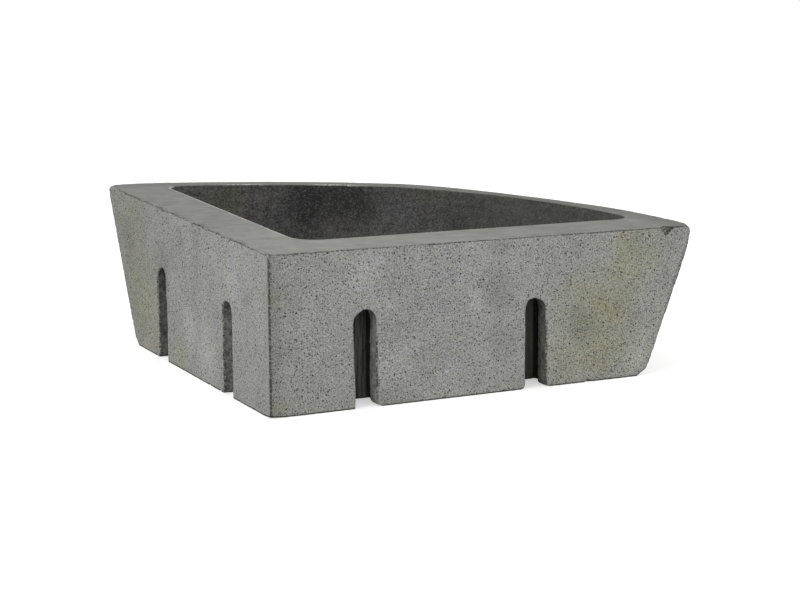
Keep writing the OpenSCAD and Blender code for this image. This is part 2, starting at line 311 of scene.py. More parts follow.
def round_over(points, first, second, radius):
    """Rounds the edge between two outer faces: the round is a circle that touches both faces."""
    behind = depths(points)
    out = outward(points)
    angle = np.einsum("ij,ij->i", out[first], out[second])
    a = radius - behind[first]
    b = radius - behind[second]
    first_part = (a - angle * b) / (1 - angle ** 2)
    second_part = (b - angle * a) / (1 - angle ** 2)
    to_centre = -first_part[:, None] * out[first] - second_part[:, None] * out[second]
    reach = np.maximum(np.linalg.norm(to_centre, axis=1), NO_LENGTH)
    in_round = (first_part > 0) & (second_part > 0) & (reach > radius)
    shift = np.where(in_round, 1 - radius / reach, 0)
    return points + shift[:, None] * to_centre


def spot_weight(points, spot, reach):
    """1 at a spot, and 0 from reach onwards."""
    return np.clip(1 - np.linalg.norm(points - spot, axis=1) / reach, 0, 1)


for first, second, tip, radius, reach in TIP_ROUNDS:
    radii = CRISP_ROUND + radius * spot_weight(points, tip, reach * MM)
    points = round_over(points, first, second, radii * MM)
print("rounded", len(TIP_ROUNDS), "edges at the tips")

# %% [markdown]
# The slots were cut by hand, and their lower corners differ from jamb to jamb, as they do where a
# tool slipped. They are rounded as the tips were. Each row below is a wall, the middle of a slot,
# its side, which is 1 for the jamb that is further from the back corner, and a radius. All are in
# millimetres.

# %% Lower corners of the slots
SLOTS = {"right": (96.1, 275.0), "left": (104.0, 283.0)}
SLOT_HALF = 12.0
FOOT_DEPTH = 18 * MM
FEET = (("right", 96.1, -1, 1.0), ("right", 96.1, 1, 5.0),
        ("right", 275.0, -1, 5.0), ("right", 275.0, 1, 3.6),
        ("left", 104.0, -1, 1.0), ("left", 104.0, 1, 2.0),
        ("left", 283.0, -1, 1.0), ("left", 283.0, 1, 3.0))


def round_foot(points, wall, middle, side, radius):
    """Rounds the lower corner of one jamb of a slot."""
    axis = 0 if wall == "right" else 1
    along = points[:, axis] - basin_low[axis]
    into_wall = points[:, 1 - axis] - basin_low[1 - axis]
    beyond = side * (along - middle * MM) - SLOT_HALF * MM
    a = radius * MM - beyond
    b = radius * MM - points[:, 2]
    reach = np.maximum(np.hypot(a, b), NO_LENGTH)
    in_corner = (beyond > -1 * MM) & (a > 0) & (b > 0) & (into_wall < FOOT_DEPTH)
    shift = np.where(in_corner & (reach > radius * MM), 1 - radius * MM / reach, 0)
    moved = points.copy()
    moved[:, axis] += side * shift * a
    moved[:, 2] += shift * b
    return moved


for foot in FEET:
    points = round_foot(points, *foot)
print("rounded", len(FEET), "lower corners")

# %% [markdown]
# Some jambs lean a little, and two arches are wider on one side. A whole jamb is shifted along its
# wall, by an amount that changes with height. Its points are moved rather than cut again, so they
# keep their order. Each row is a wall, the middle of a slot, its side, and pairs of a height and a
# shift, in millimetres.

# %% Sides of the slots
JAMB_DEPTH = 20 * MM
JAMB_HEIGHT = 96 * MM
JAMB_REACH = 6
JAMBS = (("right", 96.1, -1, ((0, 1.6), (16, 1.3), (32, 0.8), (49, 0), (60, -0.4), (90, -0.6))),
         ("right", 96.1, 1, ((0, -1), (60, -1.3), (90, -0.6))),
         ("right", 275.0, 1, ((0, -0.9), (70, -1.1), (90, -0.2))),
         ("left", 104.0, 1, ((0, -1.5), (20, -1), (66, 0), (76, 2.5), (90, 2.5))),
         ("left", 283.0, 1, ((0, 0.8), (48, 1.2), (58, 4.4), (70, 4.6), (90, 3.5))),
         ("left", 283.0, -1, ((0, 0.4), (60, 0), (68, 2.2), (90, 2.2))))


def by_jamb(off, into_wall, height):
    """1 at a distance off from the slot's middle where the jamb is, fading out beside it."""
    near = np.clip(1 - np.abs(off / MM - SLOT_HALF) / JAMB_REACH, 0, 1)
    return near * (into_wall < JAMB_DEPTH) * (height < JAMB_HEIGHT)


def lean_jamb(points, wall, middle, side, shifts):
    """Shifts one jamb of a slot along the wall, by an amount that changes with height."""
    axis = 0 if wall == "right" else 1
    height = points[:, 2]
    off = side * (points[:, axis] - basin_low[axis] - middle * MM)
    near = by_jamb(off, points[:, 1 - axis] - basin_low[1 - axis], height)
    moved = points.copy()
    moved[:, axis] += near * np.interp(height / MM, *zip(*shifts)) * MM
    return moved


for jamb in JAMBS:
    points = lean_jamb(points, *jamb)
print("leant", len(JAMBS), "jambs")

# %% [markdown]
# A cut that is guided by hand wavers. The sides of the slots move to and fro by half a millimetre,
# and the rim's outer edge sinks a little here and there, more so on the left wall.

# %% Let the cuts waver
WAVER = 0.55 * MM
SLOT_LUMP = 18 * MM
RIM_LUMP = 26 * MM
LEFT_RIM_LUMP = 13 * MM
RIM_SINK = 0.5
LEFT_RIM_SINK = 2.4
RIM_EDGE_HEIGHT = 6 * MM
RIM_EDGE_WIDTH = 3 * MM


def waver(points):
    """Moves the sides of the slots and the rim's outer edges a little to and fro."""
    behind = depths(points)
    sway = WAVER * lumps(points, SLOT_LUMP, seed=5)
    moved = points.copy()
    for axis, (wall, other) in enumerate((("right", "left"), ("left", "right"))):
        for middle in SLOTS[wall]:
            off = np.abs(behind[other] - middle * MM)
            moved[:, axis] += by_jamb(off, behind[wall], behind["base"]) * sway
    outer = np.minimum(behind["left"], behind["right"])
    near_rim = np.clip(1 - behind["rim"] / RIM_EDGE_HEIGHT, 0, 1)
    near_rim *= np.clip(1 - outer / RIM_EDGE_WIDTH, 0, 1)
    moved[:, 2] -= near_rim * WAVER * RIM_SINK * (1 + lumps(points, RIM_LUMP, seed=6))
    dips = np.clip(lumps(points, LEFT_RIM_LUMP, seed=7), 0, 1)
    dips = dips * (behind["left"] < RIM_EDGE_WIDTH)
    moved[:, 2] -= near_rim * WAVER * LEFT_RIM_SINK * dips
    return moved


before_waver = points
points = waver(points)
farthest = np.abs(points - before_waver).max()
print("the cuts waver by up to", round(float(farthest) / MM, 2), "mm")

# %% [markdown]
# The curved front wanders a little too. In the photograph its rim is up to 1.4 mm above or below
# the plane of the rest, and its wall is thinner on the right. Both are given by the angle from the
# back corner, in degrees. The edge where it meets the right wall bulges a little, which is given
# by height. The lift is kept for the material, so that the honed finish follows the rim.

# %% Uneven front
LIFT = ((0, 0), (10, -0.3), (17, -0.5), (24, -1.0), (30, -0.7), (37, 0.1), (43, 1.2), (49, 1.4),
        (54, 0.6), (60, -0.1), (66, -0.5), (71, -0.9), (78, -0.5), (85, 0), (90, 0))
THINNED = ((0, 0), (13, 0), (18, 3.5), (24, 6.5), (30, 8), (34, 7), (40, 2.5), (46, 0.5), (90, 0))
SWOLLEN = ((0, 0.3), (15, 1.3), (30, 1.7), (45, 1.3), (62, 2.0), (80, 1.9), (100, 2.3),
           (118, 2.1), (132, 1.0), (142, 0.2), (151, 0))


def fade(values, full, none):
    """1 up to the value full, falling to 0 at the value none, both in millimetres."""
    return np.clip((none * MM - values) / ((none - full) * MM), 0, 1)


def uneven_front(points):
    """The points with a wandering front, and how far each was lifted."""
    behind = depths(points)
    angle = np.degrees(np.arctan2(behind["right"], behind["left"]))
    lift = np.interp(angle, *zip(*LIFT)) * MM
    lift = lift * fade(behind["front"], 30, 60) * fade(behind["rim"], 8, 30)
    inner = fade(-behind["front"], -18, -12) * fade(behind["front"], 30, 110)
    inner = inner * fade(-behind["base"], -45, -25)
    thinned = np.interp(angle, *zip(*THINNED)) * MM * inner
    swollen = np.interp(behind["base"] / MM, *zip(*SWOLLEN)) * MM
    moved = points.copy()
    moved[:, 0] += swollen * fade(behind["right"], 4, 50) * fade(behind["front"], 3, 18)
    moved[:, 0] += thinned * np.cos(np.radians(angle))
    moved[:, 1] += thinned * np.sin(np.radians(angle))
    moved[:, 2] += lift
    return moved, lift


points, lift = uneven_front(points)
print("front lifted from", round(float(lift.min()) / MM, 1), "to",
      round(float(lift.max()) / MM, 1), "mm")

# %% [markdown]
# The slots' arches differ from a true arc. Some shoulders are flattened or widened, and a nick
# sits at the top of another arch. The right tip and the foot of the back corner are blunt. Each
# row is a soft push of the points near one spot: the spot, its reach and the push, in millimetres.

# %% Uneven arches and blunt corners
PUSHES = (((0, 0, 0), 16.0, (0, 0, 1.2)), ((88.0, 0, 89.0), 8.0, (0.5, 0, -0.7)),
          ((274.5, 0, 87.5), 3.5, (0, 0, 1.8)), ((267.5, 0, 85.5), 9.0, (-1.4, 0, 2.0)),
          ((0, 110.0, 86.0), 7.0, (0, 3.0, 1.5)), ((0, 291.0, 82.0), 10.0, (0, 3.6, 1.2)),
          ((449.5, 0, 144.5), 10.0, (-1.9, 0, -0.2)))
for spot, reach, shift in PUSHES:
    weight = spot_weight(points, from_corner(*spot), reach * MM)
    points = points + weight[:, None] * np.array(shift) * MM
points = blur(points, edges, pull=0.4, rounds=1)
write_points(block.data, points)
print("pushed", len(PUSHES), "places")

# %% [markdown]
# Next the edges crumble. An edge is found by rubbing a copy: where the copy sinks in, the stone is
# convex. Grains break out there, more on the jambs of the slots and less on the neat inner edge of
# the rim.

# %% Crumble the edges
EDGE_SINK = 0.4 * MM
RIM_INNER = 50 * MM
BESIDE_SLOT = 22
OUTER_CRUMB = 0.8 * MM
INNER_CRUMB = 0.1 * MM
CORNER_CRUMB = 0.35 * MM
BASE_CRUMB = 0.3 * MM
LEFT_RIM_CRUMB = 1.9 * MM
ROUGH_JAMB_CRUMB = 1.7 * MM
NEAT_JAMB_CRUMB = 0.5 * MM
COARSE_GRAIN = 6.5 * MM
FINE_GRAIN = 2.8 * MM


def edge_share(points, normals, edges):
    """1 on convex edges and 0 on flat or hollow places."""
    sunk = np.einsum("ij,ij->i", points - blur(points, edges, pull=0.5, rounds=5), normals)
    return np.clip(sunk / EDGE_SINK, 0, 1)


def beside_slots(behind):
    """Which points lie on a wall's face beside a slot: before its middle, and past it."""
    before = np.zeros(len(behind["base"]), bool)
    past = before.copy()
    for wall, middles in SLOTS.items():
        along = behind["left" if wall == "right" else "right"] / MM
        on_face = (behind[wall] < 5 * MM) & (behind["base"] < 100 * MM)
        for middle in middles:
            before |= on_face & (along > middle - BESIDE_SLOT) & (along < middle)
            past |= on_face & (along > middle) & (along < middle + BESIDE_SLOT)
    return before, past


def crumb_depth(points):
    """How deep grains break out at each place. The later lines win where two of them meet."""
    behind = depths(points)
    before, past = beside_slots(behind)
    depth = np.full(len(points), OUTER_CRUMB)
    depth[(behind["left"] > RIM_INNER) & (behind["right"] > RIM_INNER)] = INNER_CRUMB
    depth[(behind["left"] < 6 * MM) & (behind["right"] < 6 * MM)] = CORNER_CRUMB
    depth[behind["base"] < 4 * MM] = BASE_CRUMB
    depth[(behind["rim"] < 5 * MM) & (behind["left"] < 5 * MM)] = LEFT_RIM_CRUMB
    depth[before | past] = NEAT_JAMB_CRUMB
    depth[past & (behind["base"] < 66 * MM)] = ROUGH_JAMB_CRUMB
    return depth


normals = read_rows(block.data.vertex_normals, "vector", 3).astype(float)
edge = edge_share(points, normals, edges)
grains = 0.4 * lumps(points, COARSE_GRAIN, seed=1) + 0.9 * lumps(points, FINE_GRAIN, seed=2)
broken_out = edge * np.clip(grains, 0, 1) * crumb_depth(points)
points = points - normals * broken_out[:, None]
print("edge points", int((edge > 0.5).sum()))

# %% [markdown]
# A few larger chips are easy to recognise in the photograph: one in the rim's edge by the right
# tip, and three small ones in the base's edge. A chip is a small wedge: two planes that meet in a
# groove. Points inside the wedge are set back onto the nearer plane. The freshly broken places are
# kept as an attribute of the points, since they are painted darker, as fresh stone and as shade in
# the notch. A row of the table holds the chip's start and end on the edge, and the two ends of its
# groove.

# %% Knock out the chips
CHIP_REACH = 18 * MM
BROKEN_DEPTH = 0.8 * MM
CHIPS = [[from_corner(*place) for place in chip] for chip in (
    ((410, -1, 147.5), (433, -1, 147), (419, 9, 149), (418.6, -1, 135.5)),
    ((326, -1, -1), (339, -1, -1), (333, 6, -1), (333.5, -1, 5)),
    ((-1, 149, -1), (-1, 158, -1), (5, 153, -1), (-1, 153.5, 4)),
    ((79.5, -1, -1), (85, -1, -1), (84, 3, -1), (84, -1, 3)))]


def flanks(start, end, deep, tip):
    """The two planes of a notch, as directions that point into it."""
    inwards = []
    for side in (start, end):
        across = np.cross(tip - deep, side - deep)
        across = across / np.linalg.norm(across)
        inwards.append(across if np.dot(across, (start + end) / 2 - deep) > 0 else -across)
    return inwards


def wedge(points, start, end, deep, tip):
    """Cuts a notch between start and end of an edge. Its groove runs from deep to tip."""
    near = np.linalg.norm(points - (start + end) / 2, axis=1) < CHIP_REACH
    inwards = flanks(start, end, deep, tip)
    heights = [(points - deep) @ across for across in inwards]
    inside = near & (heights[0] > 0) & (heights[1] > 0)
    cut = points.copy()
    for index, across in enumerate(inwards):
        nearer = inside & (heights[index] <= heights[1 - index])
        cut[nearer] -= heights[index][nearer, None] * across
    return cut


before_chips = points
for chip in CHIPS:
    points = wedge(points, *chip)
broken = np.clip(np.linalg.norm(points - before_chips, axis=1) / BROKEN_DEPTH, 0, 1)
write_points(block.data, points)
print("chips", len(CHIPS), "with", int((broken > 0.5).sum()), "points")

# %% [markdown]
# The skin has far more points than the flat faces need. Decimating only the flat ones keeps all
# the detail of the edges and brings the mesh down to a size that is easy to export.

# %% Thin out the flat faces
FACE_LIMIT = 190000
JAMB_ARRIS = 0.5
KEPT_FROM = 0.02


def keep_edges(piece, edges, kept):
    """Marks the flat points in a group and lets a Decimate modifier work on those alone."""
    spread = blur(kept[:, None], edges, pull=0.8, rounds=5)[:, 0] > KEPT_FROM
    group = piece.vertex_groups.new(name="flat")
    group.add(np.flatnonzero(~spread).tolist(), 1.0, "REPLACE")
    piece.data.calc_loop_triangles()
    thin = piece.modifiers.new("thin", "DECIMATE")
    thin.ratio = FACE_LIMIT / len(piece.data.loop_triangles)
    thin.vertex_group = group.name
    applied(piece)


before, past = beside_slots(depths(points))
arris = edge * np.where(before | past, JAMB_ARRIS, 1.0)
for name, values in (("arris", arris), ("broken", broken), ("lift", lift)):
    store = block.data.attributes.new(name, "FLOAT", "POINT")
    store.data.foreach_set("value", values.astype(np.float32))
keep_edges(block, edges, np.maximum(edge, broken))
block.data.shade_smooth()
block.data.calc_loop_triangles()
print("block faces", len(block.data.loop_triangles))

# %% [markdown]
# The shape is done, and its finishes come next. Shader maths reads best as plain arithmetic, so
# this small class wraps one output of a node, and sums and products of values add their own Math
# nodes. Every other node is made by its node method. The few lines at the end try it on a node
# group that is thrown away again.

# %% A socket that can be used in sums


class Flow:
    """One output of a shader node, used in expressions."""

    def __init__(self, tree, socket=None):
        self.tree = tree
        self.socket = socket

    def node(self, kind, settings=None, sockets=None, output=0):
        """Adds a node: its settings first, then the values or links of its sockets."""
        made = self.tree.nodes.new(kind)
        for name, value in (settings or {}).items():
            setattr(made, name, value)
        for name, value in (sockets or {}).items():
            if isinstance(value, Flow):
                self.tree.links.new(value.socket, made.inputs[name])
            else:
                made.inputs[name].default_value = value
        return Flow(self.tree, made.outputs[output])

    def other(self, output):
        """Another output of the same node."""
        return Flow(self.tree, self.socket.node.outputs[output])

    def maths(self, operation, first, second):
        return self.node("ShaderNodeMath", {"operation": operation}, {0: first, 1: second})

    def __add__(self, other):
        return self.maths("ADD", self, other)

    def __radd__(self, other):
        return self.maths("ADD", other, self)

    def __sub__(self, other):
        return self.maths("SUBTRACT", self, other)

    def __rsub__(self, other):
        return self.maths("SUBTRACT", other, self)

    def __mul__(self, other):
        return self.maths("MULTIPLY", self, other)

    def __rmul__(self, other):
        return self.maths("MULTIPLY", other, self)

    def __truediv__(self, other):
        return self.maths("DIVIDE", self, other)

    def __pow__(self, other):
        return self.maths("POWER", self, other)

    def least(self, other):
        return self.maths("MINIMUM", self, other)

    def most(self, other):
        return self.maths("MAXIMUM", self, other)

    def rise(self, low, high):
        """0 below low, 1 above high and a smooth step between them. low may be the larger one."""
        settings = {"interpolation_type": "SMOOTHSTEP"}
        sockets = {"Value": self, "From Min": low, "From Max": high, "To Min": 0.0, "To Max": 1.0}
        return self.node("ShaderNodeMapRange", settings, sockets)

    def band(self, start, full, last, end):
        """1 from full to last, and 0 below start and above end."""
        return self.rise(start, full) * self.rise(end, last)


trial = bpy.data.node_groups.new("trial", "ShaderNodeTree")
(1 - Flow(trial).node("ShaderNodeValue") * 2).band(0.1, 0.2, 0.8, 0.9)
print("a band of 1 - value * 2 takes", len(trial.nodes), "nodes")
bpy.data.node_groups.remove(trial)

# %% [markdown]
# A few helpers keep the recipes below short. Colours are written as they are picked on a screen,
# and tone turns them into the linear values that shaders work with. A Mix node has sockets for
# numbers, vectors and colours, so the ones for colours are called by their numbers.

# %% Helpers for colours, vectors and noise
MIX_FACTOR = 0
MIX_FIRST = 6
MIX_SECOND = 7
MIX_RESULT = 2


def tone(red, green, blue):
    """A colour as it is picked on a screen, from 0 to 255, as the linear one that shaders use."""
    shares = [value / 255 for value in (red, green, blue)]
    return (*[s / 12.92 if s <= 0.04045 else ((s + 0.055) / 1.055) ** 2.4 for s in shares], 1.0)


def mix(flow, first, second, factor):
    """A colour between first and second."""
    sockets = {MIX_FACTOR: factor, MIX_FIRST: first, MIX_SECOND: second}
    return flow.node("ShaderNodeMix", {"data_type": "RGBA"}, sockets, MIX_RESULT)


def tinted(flow, color, tint, factor):
    """A colour multiplied by a tint where factor is 1. A tint of one number is a grey."""
    shares = tint if isinstance(tint, tuple) else (tint, tint, tint)
    settings = {"data_type": "RGBA", "blend_type": "MULTIPLY"}
    sockets = {MIX_FACTOR: factor, MIX_FIRST: color, MIX_SECOND: (*shares, 1.0)}
    return flow.node("ShaderNodeMix", settings, sockets, MIX_RESULT)


def vector(flow, operation, values, output="Vector"):
    """A Vector Math node. Its values are in the order of its sockets."""
    sockets = dict(enumerate(values))
    return flow.node("ShaderNodeVectorMath", {"operation": operation}, sockets, output)


def noise(flow, place, size, detail=2.0, rough=0.5, warp=0.0):
    """Smooth noise around 0.5, whose lumps are about size millimetres across."""
    sockets = {"Vector": place, "Scale": 1 / (size * MM), "Detail": detail, "Roughness": rough,
               "Distortion": warp}
    return flow.node("ShaderNodeTexNoise", None, sockets, "Fac")


print("grey 128 of a screen is", round(tone(128, 128, 128)[0], 3), "for a shader")

# %% [markdown]
# Every material is a Principled shader. What changes over the surface is linked to its sockets,
# and what is the same all over is set on them as a plain value.

# %% Helpers for materials


def new_material(name):
    """A material with a Principled shader: gives it, a Flow to start from and the shader."""
    material = bpy.data.materials.new(name)
    material.use_nodes = True
    shader = material.node_tree.nodes["Principled BSDF"]
    return material, Flow(material.node_tree), shader


def feed(flow, shader, name):
    """Links a value or colour to one socket of the shader."""
    flow.tree.links.new(flow.socket, shader.inputs[name])


def feed_bump(height, shader, strength, depth):
    """Raises the surface by height, which runs from 0 to 1, over a depth in millimetres."""
    sockets = {"Height": height, "Strength": strength, "Distance": depth * MM}
    feed(height.node("ShaderNodeBump", None, sockets, "Normal"), shader, "Normal")


stone, flow, stone_shader = new_material("stone")
place = flow.node("ShaderNodeTexCoord", None, None, "Object")
print("material", stone.name, "starts with", len(stone.node_tree.nodes), "nodes")

# %% [markdown]
# The stone is one material with four finishes. Where each begins is worked out from the place on
# the block: the honed rim lies on the rim's plane, the sealed bowl lies inside the walls, the
# slots lie within them, and all the rest is the rough sawn face. Painted masks would have to be
# painted again whenever the mesh changes. x, y and z are millimetres from the back corner here.

# %% Where each finish of the stone lies


def block_masks(flow, place):
    """Values over the stone: the place behind each face, and the share of each finish."""
    at = SimpleNamespace()
    split = flow.node("ShaderNodeSeparateXYZ", None, {"Vector": place}, "X")
    at.arris, at.broken, at.lift = [
        flow.node("ShaderNodeAttribute", {"attribute_name": name}, None, "Fac")
        for name in ("arris", "broken", "lift")]
    at.x = (split - basin_low.x) / MM
    at.y = (split.other("Y") - basin_low.y) / MM
    at.z = split.other("Z") / MM
    rim = split * RIM_SLOPE_X + split.other("Y") * RIM_SLOPE_Y + RIM_START
    at.below_rim = (rim + at.lift) / MM - at.z
    arm = vector(flow, "SUBTRACT", (place, CONE_START))
    along = vector(flow, "DOT_PRODUCT", (arm, CONE_AXIS), "Value")
    length = vector(flow, "LENGTH", (arm,), "Value")
    away = (length * length - along * along) ** 0.5
    at.inside_front = (along * math.tan(FLARE) + float(CONE_RADIUS) - away) / MM
    at.into_wall = at.x.least(at.y)

    at.honed = at.below_rim.rise(1.3, 0.5)
    within = at.inside_front.rise(9, 10)
    at.bowl = at.x.rise(44, 45) * at.y.rise(44, 45) * within * at.z.rise(30, 31) * (1 - at.honed)
    in_right = at.y.band(1.2, 2.4, 42, 43) * at.x.rise(4, 6)
    in_left = at.x.band(1.2, 2.4, 42, 43) * at.y.rise(4, 6)
    slots = in_right.most(in_left) * at.below_rim.rise(20, 22)
    at.slots = slots * at.z.rise(0.5, 1.5) * within
    return at


def count_nodes(step):
    print(step, "done: the stone has", len(stone.node_tree.nodes), "nodes")


at = block_masks(flow, place)
count_nodes("masks")

# %% [markdown]
# The rough face is a grey base with fine grain, dark pits and pale crystals. The pits and crystals
# are cells of a Voronoi texture. Only some of the cells are used, so they don't form a pattern.
# The other finishes use the same fields, since they are all cut in the same stone.

# %% Grain


def specks(flow, place, spacing, size, share):
    """Small round specks: 1 at their middle. share says how many of the cells hold one."""
    sockets = {"Vector": place, "Scale": 1 / (spacing * MM), "Randomness": 1.0}
    cells = flow.node("ShaderNodeTexVoronoi", {"feature": "F1"}, sockets, "Distance")
    sockets = {"Color": cells.other("Color")}
    number = flow.node("ShaderNodeSeparateColor", None, sockets, "Red")
    radius = size / spacing
    return cells.rise(radius, 0.4 * radius) * number.rise(1 - share, 1 - share + 0.02)


at.clouds = noise(flow, place, 70, 3.0, 0.6)
at.patches = noise(flow, place, 20, 4.0, 0.65, 0.4)
at.mottle = noise(flow, place, 6, 3.0, 0.65)
at.grain = noise(flow, place, 1.45, 4.0, 0.85)
wide_pits = specks(flow, place, spacing=5.2, size=1.25, share=0.36)
at.pits = wide_pits.most(specks(flow, place, spacing=2.6, size=0.9, share=0.5))
at.crystals = specks(flow, place, spacing=2.7, size=0.75, share=0.5)
count_nodes("grain")

# %% [markdown]
# Old stains show where the stone lay: lavender clouds, olive film, brown rust, and patches that
# are paler or duller than the rest. Each kind is a group of round spots: a place from the back
# corner and a size, in millimetres. A noise bends the place first, so no spot looks round.

# %% Stains of the rough face
LAVENDER = ((118, 0, 133, 34), (101, 0, 108, 26), (64, 0, 126, 22), (188, 0, 122, 30),
            (165, 0, 90, 22), (131, 0, 58, 30), (190, 0, 38, 34), (388, 0, 64, 22),
            (0, 91, 134, 30), (0, 80, 104, 30), (0, 72, 57, 34), (0, 138, 63, 30),
            (0, 40, 121, 18))
OLIVE = ((348, 0, 60, 74), (384, 0, 118, 44), (322, 0, 96, 20), (0, 345, 60, 60),
         (0, 235, 8, 34), (0, 370, 136, 34), (8, 0, 106, 14), (9, 0, 6, 13))
RUST = ((304, 0, 20, 34), (342, 0, 28, 32), (352, 0, 76, 38), (372, 0, 104, 26),
        (370, 0, 133, 16), (0, 312, 16, 36), (0, 334, 12, 26), (0, 316, 57, 18),
        (0, 373, 104, 20), (5, 0, 8, 10))
PALE = ((97, 0, 128, 34), (123, 0, 42, 34), (112, 0, 92, 26), (0, 160, 30, 44),
        (0, 205, 45, 34), (0, 94, 112, 26), (0, 336, 0, 26), (387, 0, 18, 24),
        (179, 0, 10, 30), (208, 0, 90, 18))
DULL = ((14, 0, 110, 32), (237, 0, 99, 30), (238, 0, 48, 32), (326, 0, 54, 28),
        (237, 0, 140, 20), (384, 0, 138, 20), (0, 183, 138, 26), (0, 184, 112, 30),
        (0, 231, 131, 24), (0, 283, 98, 34), (0, 50, 100, 20), (0, 387, 112, 30),
        (14, 0, 60, 18))


def stain(flow, bent, spots):
    """The strength of one kind of stain, from 0 to 1."""
    total = None
    for x, y, z, size in spots:
        away = vector(flow, "DISTANCE", (bent, from_corner(x, y, z)), "Value")
        spot = away.rise(size * MM, 0.1 * size * MM)
        total = spot if total is None else total.most(spot)
    return total


def bent_place(flow, place, size, shift):
    """The place, shifted by smooth noise in all three directions. Both lengths in millimetres."""
    sockets = {"Vector": place, "Scale": 1 / (size * MM), "Detail": 3.0, "Roughness": 0.6}
    cloud = flow.node("ShaderNodeTexNoise", None, sockets, "Color")
    centred = vector(flow, "SUBTRACT", (cloud, (0.5, 0.5, 0.5)))
    return vector(flow, "MULTIPLY_ADD", (centred, (shift * MM, shift * MM, shift * MM), place))


bent = bent_place(flow, place, 24, 46)
moved = bent_place(flow, place, 18, 20)
lavender, olive, rust = [stain(flow, bent, spots) for spots in (LAVENDER, OLIVE, RUST)]
pale, dull = [stain(flow, moved, spots) for spots in (PALE, DULL)]
count_nodes("stains")

# %% [markdown]
# The rough face is a mid grey with fine grain. The stains are laid over it as tints, which keep
# the contrast of the grain, and a fleck keeps them from covering it evenly. The crystals and pits
# come last, because no stain hides them.

# %% Rough face
on_right = at.y.rise(2, 1)
on_left = at.x.rise(2, 1)
fleck = at.mottle.rise(0.3, 0.62)
uneven = at.grain + (at.patches - 0.5) * 0.07 + (at.clouds - 0.5) * 0.1
face = mix(flow, tone(99, 100, 95), tone(191, 192, 186), uneven.rise(0.31, 0.7))
face = tinted(flow, face, 1.08, at.x.rise(60, 200) * on_right)
face = tinted(flow, face, (0.99, 0.975, 1.24), lavender * fleck * 0.4)
face = tinted(flow, face, (0.96, 0.965, 0.72), olive * (fleck * 0.3 + 0.36))
face = tinted(flow, face, (1.02, 0.88, 0.72), rust * (fleck * 0.42 + 0.12))
face = tinted(flow, face, (0.86, 0.86, 0.84), on_left * at.y.rise(240, 380))
face = tinted(flow, face, 1.2, pale)
face = tinted(flow, face, 0.84, dull)
face = mix(flow, face, tone(200, 201, 195), at.crystals * 0.65)
face = mix(flow, face, tone(42, 43, 39), at.pits * 0.92)
by_corner = at.x.rise(18, 2) * on_right
far_left = on_left * at.y.rise(200, 300) * at.z.rise(0, 100)
face = mix(flow, face, tone(98, 99, 94), by_corner * 0.3 + far_left * 0.1)
count_nodes("rough face")

# %% [markdown]
# The rim is honed, so it is even, with faint lines of the hone. It gets a little darker away from
# the back corner, and some dirt sits along its left edge.

# %% Honed rim


def stretched(flow, place, size, factors, detail=3.0):
    """Noise drawn out along an axis: a small factor makes it long that way."""
    return noise(flow, vector(flow, "MULTIPLY", (place, factors)), size, detail, 0.6)


lines = stretched(flow, place, 6, (0.12, 1.0, 1.0), 4.0).rise(0.3, 0.7)
uneven = lines * 0.3 + at.patches.rise(0.3, 0.7) * 0.45 + at.grain.rise(0.3, 0.7) * 0.25
rim = mix(flow, tone(130, 131, 125), tone(160, 161, 155), uneven)
rim = tinted(flow, rim, (0.86, 0.86, 0.855), at.x.rise(120, 360))
rim = tinted(flow, rim, 0.86, at.y.rise(40, 220))
dirt = noise(flow, place, 15, 3.0, 0.6).rise(0.48, 0.62)
rim = mix(flow, rim, tone(100, 101, 95), dirt * at.x.rise(7, 1) * 0.6)
rim = mix(flow, rim, tone(112, 113, 108), at.inside_front.rise(40, 12) * 0.5)
count_nodes("honed rim")

# %% [markdown]
# The bowl is sealed, which darkens the stone. The sealer lies unevenly, so there are dull places,
# pale clouds and an olive film, as spots again, and two spots are much darker. Short dashes and
# streaks follow the way it was brushed.

# %% Sealed bowl
BOWL_DARK = ((202, 367, 142, 60), (228, 352, 144, 52))
BOWL_DULL = ((330, 256, 131, 36), (254, 335, 140, 28), (202, 366, 134, 38))
BOWL_PALE = ((282, 306, 130, 40), (190, 370, 140, 50), (160, 384, 124, 50),
             (334, 250, 134, 54), (226, 350, 112, 30))
BOWL_OLIVE = ((118, 402, 138, 62), (310, 290, 152, 34), (369, 205, 144, 84),
              (215, 348, 108, 34), (200, 120, 60, 120))
bent = bent_place(flow, place, 30, 30)
fine = noise(flow, place, 1.8, 3.0, 0.75)
uneven = fine * 0.7 + at.mottle * 0.2 + at.clouds * 0.1
bowl = mix(flow, tone(27, 27, 25), tone(102, 102, 97), uneven.rise(0.32, 0.69))
bowl = tinted(flow, bowl, (1.06, 1.02, 1.16), stain(flow, bent, BOWL_PALE))
bowl = tinted(flow, bowl, (1.0, 1.0, 0.87), stain(flow, bent, BOWL_OLIVE))
bowl = tinted(flow, bowl, 0.66, stain(flow, bent, BOWL_DULL))
bowl = mix(flow, bowl, tone(80, 81, 75), at.x.rise(300, 380) * 0.5)
bowl = tinted(flow, bowl, 0.22, stain(flow, bent, BOWL_DARK) * 0.85)
streaks = stretched(flow, place, 5, (0.25, 0.25, 1.0)).rise(0.38, 0.62)
bowl = tinted(flow, bowl, 0.6, streaks * 0.5)
dashes = stretched(flow, place, 1.2, (0.45, 0.45, 1.0)).rise(0.5, 0.68)
bowl = mix(flow, bowl, tone(112, 112, 110), dashes * at.mottle.rise(0.3, 0.6) * 0.5)
bowl = mix(flow, bowl, tone(124, 124, 121), at.crystals * 0.4)
count_nodes("sealed bowl")
